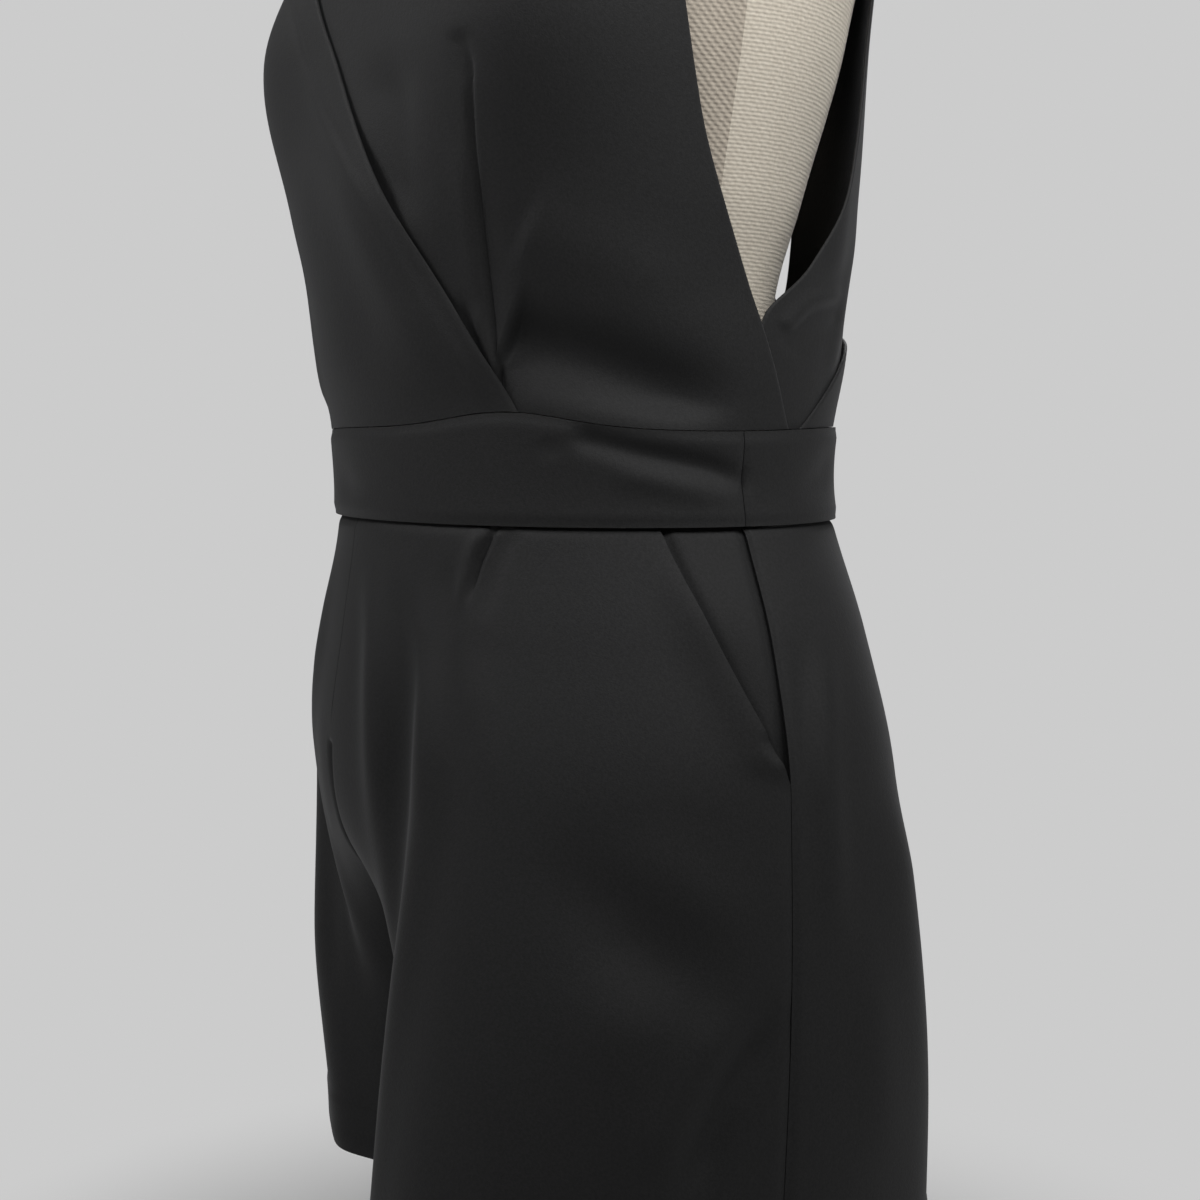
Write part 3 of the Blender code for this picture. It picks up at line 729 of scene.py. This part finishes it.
def band_cloth(name, start, end, columns, material):
    """A length of the waistband, with its dents and rolled edges."""
    half_seam = degrees_of(SEAM / 2)
    turned = np.linspace(start + half_seam, end - half_seam, columns + 1)
    heights = np.linspace(-BAND_HEIGHT, 0, BAND_ROWS + 1)
    angle, height = np.meshgrid(turned, heights)
    points = bodice(angle, height)
    points[..., 2] += waist_wave(angle, height)
    normals = turned_out(grid_normals(points), points)
    normals[..., 2] = 0.0
    normals /= np.linalg.norm(normals, axis=-1, keepdims=True)
    share = (height + BAND_HEIGHT) / BAND_HEIGHT
    from_edge = np.minimum(share, 1 - share)
    relief = photo_relief("band", points, normals) * smooth(from_edge / BAND_HELD_SHARE + BAND_HELD_LEAST)
    # The band is softly domed, and pulls in where its long edges and its ends are sewn
    dome = -BAND_DOME * (1 - smooth(from_edge / BAND_DOME_SHARE))
    from_end = np.minimum(turned - turned[0], turned[-1] - turned)[None, :] * METRES_A_DEGREE
    groove = -BAND_END_GROOVE * np.exp(-((from_end / BAND_END_WIDTH) ** 2))
    inner_lift = BAND_INSIDE + np.minimum(relief, 0) * BAND_DENT_INSIDE
    outer_lift = BAND_INSIDE + BAND_CLOTH * BAND_WALL_SHARE + relief + dome + groove
    inner = points + normals * inner_lift[..., None]
    outer = points + normals * outer_lift[..., None]
    return wall_mesh(name, outer, inner, material)


def closing(height, share=0.0):
    """How far a place on a panel has left the hips' section for the leg's, 0 to 1."""
    outward = smooth(share / INNER_SHARE)
    start = CROTCH_START + (FULLNESS_START - CROTCH_START) * outward
    end = -CROTCH_DROP + (CROTCH_DROP - HEM_DROP) * outward
    power = CROTCH_POWER + (FULLNESS_POWER - CROTCH_POWER) * outward
    return np.clip((start - height) / (start - end), 0.0, 1.0) ** power


def folds(table, share, height):
    """How far the long soft folds stand out at places on a panel of the shorts."""
    out = 0.0
    for top_share, hem_share, top, bottom, half_width, depth in table:
        down = np.clip((top - height) / (top - bottom), 0.0, None)
        middle = top_share + (hem_share - top_share) * np.minimum(1.0, down)
        reaches_hem = bottom <= -HEM_DROP
        rise = smooth(down * FOLD_RISE) * (1.0 if reaches_hem else smooth((1 - down) * FOLD_FALL))
        across = (share - middle) / half_width
        out = out + depth * rise * np.exp(-across * across)
    return out


def shorts_points(side, part, share, height):
    """Points of the shorts' inner face in the garment's own frame."""
    angle = SIDE_ANGLE * share if part == "front" else 180 - (180 - SIDE_ANGLE) * share
    turn = read(TURN, height)
    pelvis = rotated(body(side * angle + turn, height, 1.0), -turn)
    middle = rotated(body(turn + (0 if part == "front" else 180), height, 1.0), -turn)
    pelvis[..., 0] -= middle[..., 0] * (1 - share) ** 2
    half_width, front, back = (read(curve, height) for curve in LEG[side])
    centre = side * (half_width + LEG_GAP) + CROTCH_SHIFT
    if part == "front":
        leg_angle = np.radians(-90 + (90 + SIDE_ANGLE) * share)
    else:
        leg_angle = np.radians(270 - (270 - SIDE_ANGLE) * share)
    depth = np.where(np.cos(leg_angle) > 0, front, back)
    leg = np.stack([
        centre + side * half_width * np.sin(leg_angle),
        -depth * np.cos(leg_angle),
        pelvis[..., 2],
    ], axis=-1)
    blend = closing(height, share)[..., None]
    return pelvis * (1 - blend) + leg * blend


def pocket_share(height):
    """Where the slanted pocket mouth cuts the front panel, as a share."""
    down = np.clip((-BAND_HEIGHT - height) / (POCKET_DROP - BAND_HEIGHT), 0.0, 1.0)
    angle = POCKET_ANGLE + (SIDE_ANGLE - POCKET_ANGLE) * down ** POCKET_BEND
    return np.minimum(angle, SIDE_ANGLE - degrees_of(SEAM / 2)) / SIDE_ANGLE


def shorts_cloth(name, side, part, group, material, inside=SHORTS_INSIDE, start=None, end=None,
                 lowest=-HEM_DROP, rows=165, columns=150, edges=()):
    """A fine panel of the shorts. start and end give the shares of its two edges at a height."""
    heights = np.linspace(-BAND_HEIGHT, lowest, rows + 1)
    first = start(heights) if start else np.full(rows + 1, degrees_of(SEAM / 2) / SIDE_ANGLE)
    last = end(heights) if end else np.full(rows + 1, 1 - degrees_of(SEAM / 2) / SIDE_ANGLE)
    fine_places = [[0.0, 1.0] for _ in heights]
    if "mouth" in edges:
        pleat_heights, pleat_shares = zip(*PLEAT_WAY)
        for places, height in zip(fine_places, heights):
            places.append(np.interp(height, pleat_heights, pleat_shares))
    spread = np.array([crowded(columns, places) for places in fine_places])
    share = first[:, None] + (last - first)[:, None] * spread
    height = np.broadcast_to(heights[:, None], share.shape)
    points = shorts_points(side, part, share, height)
    in_leg = closing(height) > 0.5
    outward = points.copy()
    outward[..., 0] -= np.where(in_leg, side * LEG_CENTRE + CROTCH_SHIFT, 0.0)
    normals = turned_out(grid_normals(points), outward)
    for end_row in (0, -1):
        normals[end_row, :, 2] = 0.0
        normals[end_row] /= np.linalg.norm(normals[end_row], axis=-1, keepdims=True)
    turn = read(TURN, height)
    world_points, world_normals = rotated(points, turn), rotated(normals, turn)
    lift = inside + folds(FRONT_FOLDS if part == "front" else BACK_FOLDS, share, height)
    below_band = -BAND_HEIGHT - height
    free = BAND_HOLD_LEAST + (1 - BAND_HOLD_LEAST) * smooth(below_band / BAND_HOLD_HEIGHT)
    lift = lift + photo_relief(group, world_points, world_normals) * free
    groove = np.zeros_like(lift)
    past_mouth = share - pocket_share(height)
    down = below_band / (POCKET_DROP - BAND_HEIGHT)
    if "centre" in edges:
        groove = groove - CENTRE_GROOVE * np.exp(-((share / SEAM_WIDTH) ** 2)) * (1 - closing(height))
    if "side" in edges:
        groove = groove - SIDE_GROOVE * np.exp(-(((1 - share) / SEAM_WIDTH) ** 2))
    if "facing" in edges:
        # The part that shows comes up between the mouth and the side seam, and sinks away low in the mouth
        shown = smooth(past_mouth / FACING_RISE_WIDTH) * smooth((1 - share) / FACING_RISE_WIDTH)
        sunk = smooth((down - FACING_SINK_FROM) / FACING_SINK_OVER)
        lift = lift + FACING_RISE * shown
        lift = lift - FACING_SINK * sunk * np.exp(-((past_mouth / FACING_SINK_WIDTH) ** 2))
    if "mouth" in edges:
        # The mouth stands open, and the seams' grooves start below it
        open_here = smooth(down / GAPE_START) * smooth((1 - down) / GAPE_END)
        lift = lift + POCKET_GAPE * open_here * np.exp(-((past_mouth / GAPE_WIDTH) ** 2))
        groove = groove * np.where(down < 1, 0.0, 1.0)
    # The band's seam pulls the top in, and the turned hem is two layers thick
    groove = groove - TOP_GROOVE * np.exp(-((below_band / TOP_GROOVE_HEIGHT) ** 2))
    thick = CLOTH + HEM_EXTRA * smooth((-HEM_DROP + HEM_HEIGHT - height) / HEM_STEP)
    taken = rounded_edges(points.shape[:2], ("top",))
    inner = points + normals * (lift + np.minimum(groove, 0) * GROOVE_INSIDE)[..., None]
    outer = points + normals * (lift + groove + thick * (1 - taken))[..., None]
    seam_x = CROTCH_SHIFT * closing(height)
    for grid in (inner, outer):
        past = side * (grid[..., 0] - seam_x) < SEAM / 2
        grid[..., 0] = np.where(past, seam_x + side * SEAM / 2, grid[..., 0])
        grid[0, :, 2] = WAIST_TOP - BAND_HEIGHT - SEAM
    return wall_mesh(name, rotated(outer, turn), rotated(inner, turn), material)


def node_link(tree, source, output, target, socket):
    """Joins one node's output to another's input."""
    tree.links.new(source.outputs[output], target.inputs[socket])


def new_material(name, roughness, metallic=0.0):
    """A material, its node tree and its shader."""
    made = bpy.data.materials.new(name)
    made.use_nodes = True
    shader = made.node_tree.nodes["Principled BSDF"]
    shader.inputs["Roughness"].default_value = roughness
    shader.inputs["Metallic"].default_value = metallic
    return made, made.node_tree, shader


def noise(tree, place, scale, detail=2.0, stretch=None):
    """A noise texture in the object's own metres."""
    made = tree.nodes.new("ShaderNodeTexNoise")
    made.inputs["Scale"].default_value = scale
    made.inputs["Detail"].default_value = detail
    if stretch:
        mapping = tree.nodes.new("ShaderNodeMapping")
        mapping.inputs["Scale"].default_value = stretch
        node_link(tree, place, "Object", mapping, "Vector")
        node_link(tree, mapping, "Vector", made, "Vector")
    else:
        node_link(tree, place, "Object", made, "Vector")
    return made


def two_colours(tree, factor, dark, light, low=0.3, high=0.7):
    """A ramp between two colours."""
    ramp = tree.nodes.new("ShaderNodeValToRGB")
    ramp.color_ramp.elements[0].position = low
    ramp.color_ramp.elements[0].color = (*dark, 1.0)
    ramp.color_ramp.elements[1].position = high
    ramp.color_ramp.elements[1].color = (*light, 1.0)
    node_link(tree, factor, "Fac", ramp, "Fac")
    return ramp


def crepe_material():
    """Matte black stretch crepe: a fine pebbled grain, and a faint sheen."""
    made, tree, shader = new_material("romper_black_crepe", 0.72)
    shader.inputs["Specular IOR Level"].default_value = 0.32
    shader.inputs["Sheen Weight"].default_value = 0.085
    shader.inputs["Sheen Roughness"].default_value = 0.38
    shader.inputs["Sheen Tint"].default_value = (0.85, 0.85, 0.88, 1.0)
    place = tree.nodes.new("ShaderNodeTexCoord")
    yarns = noise(tree, place, 850.0, 3.0)
    colour = two_colours(tree, yarns, (0.0048, 0.0048, 0.0050), (0.0100, 0.0100, 0.0103), 0.35, 0.65)
    node_link(tree, colour, "Color", shader, "Base Color")
    grain = noise(tree, place, 1500.0, 2.0)
    pebbles = noise(tree, place, 420.0, 2.0)
    fine = tree.nodes.new("ShaderNodeBump")
    fine.inputs["Strength"].default_value = 0.50
    fine.inputs["Distance"].default_value = 0.00020
    node_link(tree, grain, "Fac", fine, "Height")
    soft = tree.nodes.new("ShaderNodeBump")
    soft.inputs["Strength"].default_value = 0.25
    soft.inputs["Distance"].default_value = 0.00030
    node_link(tree, pebbles, "Fac", soft, "Height")
    node_link(tree, fine, "Normal", soft, "Normal")
    node_link(tree, soft, "Normal", shader, "Normal")
    return made


def linen_material(name, dark, light, slant):
    """Woven cover of the form, with level ribs. slant is how far slanting ones stand out over them."""
    made, tree, shader = new_material(name, 0.88)
    shader.inputs["Sheen Weight"].default_value = 0.15
    place = tree.nodes.new("ShaderNodeTexCoord")
    threads = noise(tree, place, 700.0, 3.0)
    colour = two_colours(tree, threads, dark, light)
    node_link(tree, colour, "Color", shader, "Base Color")
    level = tree.nodes.new("ShaderNodeTexWave")
    level.bands_direction = "Z"
    level.inputs["Scale"].default_value = 190.0
    level.inputs["Distortion"].default_value = 1.5
    node_link(tree, place, "Object", level, "Vector")
    slanting = tree.nodes.new("ShaderNodeTexWave")
    slanting.bands_direction = "DIAGONAL"
    slanting.inputs["Scale"].default_value = 150.0
    slanting.inputs["Distortion"].default_value = 1.0
    node_link(tree, place, "Object", slanting, "Vector")
    first = tree.nodes.new("ShaderNodeBump")
    first.inputs["Strength"].default_value = 0.30
    first.inputs["Distance"].default_value = 0.0003
    node_link(tree, level, "Fac", first, "Height")
    second = tree.nodes.new("ShaderNodeBump")
    second.inputs["Strength"].default_value = slant
    second.inputs["Distance"].default_value = 0.0004
    node_link(tree, slanting, "Fac", second, "Height")
    node_link(tree, first, "Normal", second, "Normal")
    node_link(tree, second, "Normal", shader, "Normal")
    return made


def metal_material():
    """Brushed steel of the stand."""
    made, tree, shader = new_material("stand_brushed_steel", 0.42, 0.75)
    place = tree.nodes.new("ShaderNodeTexCoord")
    streaks = noise(tree, place, 260.0, 3.0, stretch=(0.15, 1.0, 1.0))
    colour = two_colours(tree, streaks, (0.60, 0.60, 0.61), (0.68, 0.68, 0.69))
    node_link(tree, colour, "Color", shader, "Base Color")
    uneven = tree.nodes.new("ShaderNodeMapRange")
    uneven.inputs["To Min"].default_value = 0.36
    uneven.inputs["To Max"].default_value = 0.50
    node_link(tree, streaks, "Fac", uneven, "Value")
    node_link(tree, uneven, "Result", shader, "Roughness")
    return made


def wood_material():
    """Lacquered wood of the neck cap."""
    made, tree, shader = new_material("cap_lacquered_wood", 0.42)
    shader.inputs["Coat Weight"].default_value = 0.25
    shader.inputs["Coat Roughness"].default_value = 0.25
    place = tree.nodes.new("ShaderNodeTexCoord")
    grain = noise(tree, place, 28.0, 6.0, stretch=(1.0, 9.0, 1.0))
    colour = two_colours(tree, grain, (0.30, 0.17, 0.075), (0.50, 0.31, 0.15))
    node_link(tree, colour, "Color", shader, "Base Color")
    relief = tree.nodes.new("ShaderNodeBump")
    relief.inputs["Strength"].default_value = 0.12
    relief.inputs["Distance"].default_value = 0.0003
    node_link(tree, grain, "Fac", relief, "Height")
    node_link(tree, relief, "Normal", shader, "Normal")
    return made


# Angles on the form where its cover is seamed, and the ribbed part in front of the side seam
FORM_SEAMS = (0.0, 40.0, 86.0, 140.0, 180.0, 220.0, 274.0, 320.0)
RIBBED_FROM = 62.0
RIBBED_TO = 86.0
COVER_SIDES = 240
COVER_LEVELS = 190
COVER_GROOVE = 0.0009
COVER_GROOVE_WIDTH = 0.0016
COVER_RIM = 0.004
COVER_RIM_HEIGHT = 0.008


def make_form_cover(linen, ribbed):
    """The form's cover on a fine grid, with seam grooves and a rounded lower rim."""
    levels = np.linspace(-FORM_BOTTOM_DROP, NECK_TOP, COVER_LEVELS)
    angle, height = np.meshgrid(np.arange(COVER_SIDES) * 360 / COVER_SIDES, levels)
    points = body(angle, height)
    groove = COVER_RIM * (1 - smooth((height + FORM_BOTTOM_DROP) / COVER_RIM_HEIGHT))
    for seam in FORM_SEAMS:
        apart = np.abs((angle - seam + 180) % 360 - 180) * METRES_A_DEGREE
        groove += COVER_GROOVE * np.exp(-((apart / COVER_GROOVE_WIDTH) ** 2))
    way = points.copy()
    way[..., 1] -= read(LEAN, height)
    way[..., 2] = 0.0
    way /= np.linalg.norm(way, axis=-1, keepdims=True)
    points = points - way * groove[..., None]
    index = np.arange(COVER_LEVELS * COVER_SIDES).reshape(COVER_LEVELS, COVER_SIDES)
    nearby = np.roll(index, -1, axis=1)
    faces = list(zip(
        index[:-1].ravel().tolist(), nearby[:-1].ravel().tolist(),
        nearby[1:].ravel().tolist(), index[1:].ravel().tolist(),
    ))
    faces.append(tuple(index[0][::-1].tolist()))
    faces.append(tuple(index[-1].tolist()))
    mesh = bpy.data.meshes.new("form_cover")
    mesh.from_pydata(points.reshape(-1, 3).tolist(), [], faces)
    mesh.shade_smooth()
    mesh.set_sharp_from_angle(angle=math.radians(SHARP_ANGLE))
    mesh.materials.append(linen)
    mesh.materials.append(ribbed)
    slots = np.zeros(len(faces), int)
    face_angle = angle[:-1].ravel()
    for side_angle in (face_angle, 360 - face_angle):
        is_ribbed = (side_angle > RIBBED_FROM) & (side_angle < RIBBED_TO)
        slots[: len(face_angle)] |= is_ribbed.astype(int)
    mesh.polygons.foreach_set("material_index", slots.tolist())
    made = bpy.data.objects.new("form_cover", mesh)
    bpy.context.scene.collection.objects.link(made)
    return made


def dress(piece, node):
    """A piece stands for a node, whose own solid is hidden, and rides with the whole."""
    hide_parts(node)
    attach(piece, "root")
    return piece


crepe = crepe_material()
linen = linen_material("form_linen_cover", (0.56, 0.50, 0.41), (0.68, 0.62, 0.52), 0.15)
ribbed = linen_material("form_ribbed_cover", (0.38, 0.33, 0.27), (0.50, 0.44, 0.36), 0.45)
metal = metal_material()
wood = wood_material()

form_cover = dress(make_form_cover(linen, ribbed), "form_torso")

cloth_pieces = {
    "bodice_front_left": bodice_cloth(
        "front_left_cloth", "bodice_front_left", UNDER_NECK_EDGE, mirrored(ARM_EDGE), LAYER, crepe,
        dart_angle=PLEAT_ANGLE,
    ),
    "bodice_front_right": bodice_cloth(
        "front_right_cloth", "bodice_front_right", ARM_EDGE, NECK_EDGE, 2 * LAYER, crepe,
        dart_angle=-PLEAT_ANGLE,
    ),
    "bodice_back_left": bodice_cloth(
        "back_left_cloth", "bodice_back_left",
        from_back(BACK_ARM_EDGE), from_back(BACK_NECK_EDGE), 0.0, crepe,
        columns=100,
    ),
    "bodice_back_right": bodice_cloth(
        "back_right_cloth", "bodice_back_right",
        from_back(mirrored(OVER_BACK_NECK_EDGE)), from_back(mirrored(BACK_ARM_EDGE)), LAYER, crepe,
        columns=100,
    ),
    "waistband_front": band_cloth("waistband_front_cloth", -SIDE_ANGLE, SIDE_ANGLE, 260, crepe),
    "waistband_back": band_cloth("waistband_back_cloth", SIDE_ANGLE, 360 - SIDE_ANGLE, 210, crepe),
}
for side, word in ((1, "left"), (-1, "right")):
    cloth_pieces[f"shorts_front_{word}"] = shorts_cloth(
        f"shorts_front_{word}_cloth", side, "front", f"shorts_front_{word}", crepe,
        end=pocket_share, edges=("centre", "side", "mouth"),
    )
    cloth_pieces[f"shorts_back_{word}"] = shorts_cloth(
        f"shorts_back_{word}_cloth", side, "back", f"shorts_back_{word}", crepe,
        columns=100, edges=("centre", "side"),
    )
    cloth_pieces[f"pocket_facing_{word}"] = shorts_cloth(
        f"pocket_facing_{word}_cloth", side, "front", f"shorts_front_{word}", crepe,
        inside=FACING_INSIDE, lowest=-POCKET_DROP - FACING_BELOW, rows=56, columns=40, edges=("facing",),
        start=lambda h: pocket_share(h) - FACING_LAP / SIDE_ANGLE,
        end=lambda h: np.full(len(h), 1 + FACING_TUCK / SIDE_ANGLE),
    )
for node, piece in cloth_pieces.items():
    dress(piece, node)

for node, material in (
    ("stand_base", metal),
    ("stand_hub", metal),
    ("stand_pole", metal),
    ("stand_flange", metal),
    ("neck_cap", wood),
):
    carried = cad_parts[node]
    carried = bpy.data.objects[carried] if isinstance(carried, str) else carried
    for material_slot in carried.material_slots:
        material_slot.material = material

# Camera
camera_data = bpy.data.cameras.new("camera")
camera_data.sensor_width = SENSOR
camera_data.lens = FOCAL_PIXELS / IMAGE * SENSOR
camera_data.clip_start = 0.01
camera_data.dof.use_dof = False
camera = bpy.data.objects.new("camera", camera_data)
bpy.context.scene.collection.objects.link(camera)
camera.matrix_world = matrix_at(RIGHT, UPWARD, -LOOKING, EYE)
bpy.context.scene.camera = camera

# Studio: a pale floor that fades into a pale surround, and large soft lights
BACKGROUND = (0.604, 0.604, 0.604)
AMBIENT = 0.02
FLOOR_RADIUS = 8.0
FLOOR_DROP = 0.0004
SHADOW_TO = 0.14
PLAIN_FROM = 0.42
SURROUND_RADIUS = 8.5
LIGHTS = (
    # name, place, what it faces, side in metres, width of the beam in degrees, watts
    ("key", (-0.60, -1.30, 1.70), (0.0, 0.0, 0.75), 0.8, 56.0, 2.3),
    ("near_top", (0.75, 0.15, 1.20), (0.0, 0.0, 0.70), 0.5, 90.0, 2.0),
    ("near_front", (0.62, -0.50, 1.20), (0.0, 0.0, 0.65), 0.4, 90.0, 1.2),
    ("rim", (0.95, 1.10, 1.40), (0.0, 0.0, 0.50), 0.8, 180.0, 5.0),
    ("behind", (-0.90, 1.10, 1.50), (0.0, 0.0, 0.50), 0.8, 180.0, 14.0),
)


def make_floor():
    """A round floor that takes soft shadows near the stand and has the surround's tone further out."""
    mesh = bpy.data.meshes.new("floor")
    shape = bmesh.new()
    bmesh.ops.create_circle(shape, cap_ends=True, segments=96, radius=FLOOR_RADIUS)
    shape.to_mesh(mesh)
    shape.free()
    floor = bpy.data.objects.new("floor", mesh)
    floor.location = (0.0, 0.0, -FLOOR_DROP)
    floor.visible_diffuse = False
    bpy.context.scene.collection.objects.link(floor)
    made, tree, shader = new_material("floor_pale", 0.9)
    shader.inputs["Base Color"].default_value = (0.62, 0.62, 0.62, 1.0)
    shader.inputs["Specular IOR Level"].default_value = 0.1
    glow = tree.nodes.new("ShaderNodeEmission")
    glow.inputs["Color"].default_value = (*BACKGROUND, 1.0)
    place = tree.nodes.new("ShaderNodeTexCoord")
    length = tree.nodes.new("ShaderNodeVectorMath")
    length.operation = "LENGTH"
    node_link(tree, place, "Object", length, 0)
    fade = tree.nodes.new("ShaderNodeMapRange")
    fade.interpolation_type = "SMOOTHSTEP"
    fade.inputs["From Min"].default_value = SHADOW_TO
    fade.inputs["From Max"].default_value = PLAIN_FROM
    node_link(tree, length, "Value", fade, "Value")
    mixed = tree.nodes.new("ShaderNodeMixShader")
    node_link(tree, fade, "Result", mixed, 0)
    node_link(tree, shader, "BSDF", mixed, 1)
    node_link(tree, glow, "Emission", mixed, 2)
    node_link(tree, mixed, "Shader", tree.nodes["Material Output"], "Surface")
    mesh.materials.append(made)


def make_light(name, place, target, size, beam, power):
    """A large square soft light, turned to a point."""
    data = bpy.data.lights.new(name, "AREA")
    data.shape = "SQUARE"
    data.size = size
    data.spread = math.radians(beam)
    data.energy = power
    light = bpy.data.objects.new(name, data)
    light.visible_camera = False
    bpy.context.scene.collection.objects.link(light)
    place, target = np.array(place), np.array(target)
    back = (place - target) / np.linalg.norm(place - target)
    side = np.cross((0.0, 0.0, 1.0), back)
    side /= np.linalg.norm(side)
    over = np.cross(back, side)
    light.matrix_world = matrix_at(side, over, back, place)


def make_surround():
    """A plain shell of the surround's tone, far off, that gives the part no light."""
    mesh = bpy.data.meshes.new("surround")
    shape = bmesh.new()
    bmesh.ops.create_uvsphere(shape, u_segments=48, v_segments=24, radius=SURROUND_RADIUS)
    shape.to_mesh(mesh)
    shape.free()
    mesh.shade_smooth()
    shell = bpy.data.objects.new("surround", mesh)
    bpy.context.scene.collection.objects.link(shell)
    made = bpy.data.materials.new("surround_pale")
    made.use_nodes = True
    tree = made.node_tree
    tree.nodes.remove(tree.nodes["Principled BSDF"])
    glow = tree.nodes.new("ShaderNodeEmission")
    glow.inputs["Color"].default_value = (*BACKGROUND, 1.0)
    node_link(tree, glow, "Emission", tree.nodes["Material Output"], "Surface")
    mesh.materials.append(made)
    shell.visible_diffuse = False
    shell.visible_glossy = False
    shell.visible_transmission = False
    shell.visible_shadow = False


make_floor()
make_surround()
for light in LIGHTS:
    make_light(*light)

world = bpy.data.worlds.new("studio")
world.use_nodes = True
world.node_tree.nodes["Background"].inputs["Color"].default_value = (*BACKGROUND, 1.0)
world.node_tree.nodes["Background"].inputs["Strength"].default_value = AMBIENT
bpy.context.scene.world = world
bpy.context.scene.view_settings.view_transform = "Standard"
